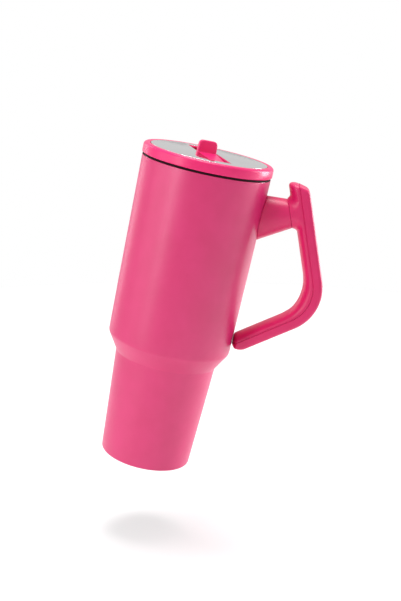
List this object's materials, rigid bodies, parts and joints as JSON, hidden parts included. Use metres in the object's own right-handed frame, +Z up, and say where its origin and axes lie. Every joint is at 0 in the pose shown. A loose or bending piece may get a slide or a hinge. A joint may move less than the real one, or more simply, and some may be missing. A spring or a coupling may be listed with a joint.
{
  "type": "insulated tumbler with lid",
  "caption": "Tall double-walled steel tumbler with a narrow cup-holder base, a swing-over carrying handle and a press-in lid with a sliding drink closure.",
  "frame": {"origin": "centre of the foot, on the surface the tumbler stands on", "axes": "+Z up along the body's axis, +X towards the handle, so Y is the narrow way across"},
  "size_m": [0.162, 0.1032, 0.2628],
  "materials": {
    "powder_coat": "fine satin powder coat",
    "pink_plastic": "satin moulded",
    "lid_plastic": "satin moulded",
    "liner_steel": "spun satin",
    "inlay_steel": "polished with a fine brush",
    "fastener_steel": "turned",
    "black_rubber": "matt",
    "clear_silicone": "translucent matt",
    "dark_nylon": "plain"
  },
  "bodies": {
    "tumbler": {"outer_wall": "powder_coat", "inner_liner": "liner_steel", "base_plate": "liner_steel", "vacuum_port_plug": "liner_steel", "vacuum_getter": "liner_steel", "base_pad": "black_rubber", "handle_boss": "pink_plastic", "boss_stud": "fastener_steel", "pivot_bolt": "fastener_steel", "friction_washer": "dark_nylon", "spring_washer": "fastener_steel"},
    "handle": {"handle_frame": "pink_plastic", "handle_cover": "pink_plastic", "pivot_bush": "dark_nylon", "pivot_cap": "pink_plastic"},
    "lid": {"lid_shell": "lid_plastic", "lid_inlay": "inlay_steel", "rim_gasket": "black_rubber", "plug_seal": "clear_silicone"},
    "slider": {"slider_bar": "lid_plastic", "slider_seal": "clear_silicone"}
  },
  "joints": [
    {"name": "handle_swing", "type": "hinge", "parent": "tumbler", "child": "handle", "pos_m": [0.07057, 0, 0.22165], "axis": [0.9336, 0, 0.3584], "range_deg": [-180, 0]},
    {"name": "lid_lift", "type": "slide", "parent": "tumbler", "child": "lid", "axis": [0, 0, 1], "range_m": [0, 0.017]},
    {"name": "sip_slide", "type": "slide", "parent": "lid", "child": "slider", "axis": [-0.3007, 0.9537, 0], "range_m": [0, 0.0135]}
  ]
}
